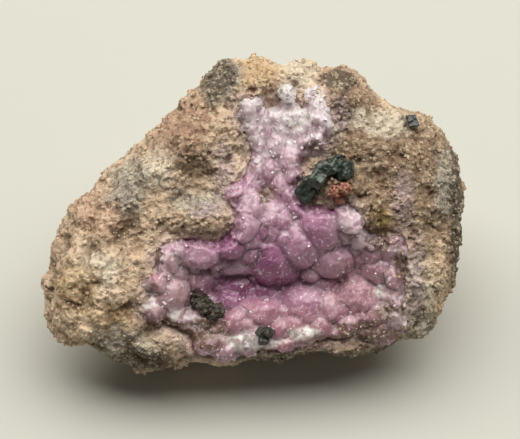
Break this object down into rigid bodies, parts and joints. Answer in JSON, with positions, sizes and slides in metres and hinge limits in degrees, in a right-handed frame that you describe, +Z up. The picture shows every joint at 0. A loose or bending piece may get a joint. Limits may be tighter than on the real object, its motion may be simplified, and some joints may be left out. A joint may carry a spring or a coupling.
{
  "type": "spherocobaltite specimen",
  "caption": "Hand specimen of brown host rock with a hollow face lined by pink-violet spherocobaltite crystals and a few dark grains, flat underneath.",
  "frame": {"origin": "middle of the whole specimen's box, on the surface it rests on", "axes": "+Z up from the resting face, +X along the specimen's length to the viewer's right, -Y towards the viewer, whom the crystal face leans towards"},
  "size_m": [0.0504, 0.0352, 0.0297],
  "materials": {
    "host_rock": "rough, earthy",
    "spherocobaltite": "vitreous, translucent",
    "malachite": "vitreous",
    "iron_oxide": "dull",
    "black_oxide": "glossy",
    "dark_oxide": "submetallic"
  },
  "bodies": {
    "root": {"matrix": "host_rock", "spherocobaltite_crust": "spherocobaltite", "malachite_crystals": "malachite", "rust_red_grains": "iron_oxide", "black_chip": "black_oxide", "dark_beads": "dark_oxide", "hollow_grains": "dark_oxide"}
  },
  "joints": []
}
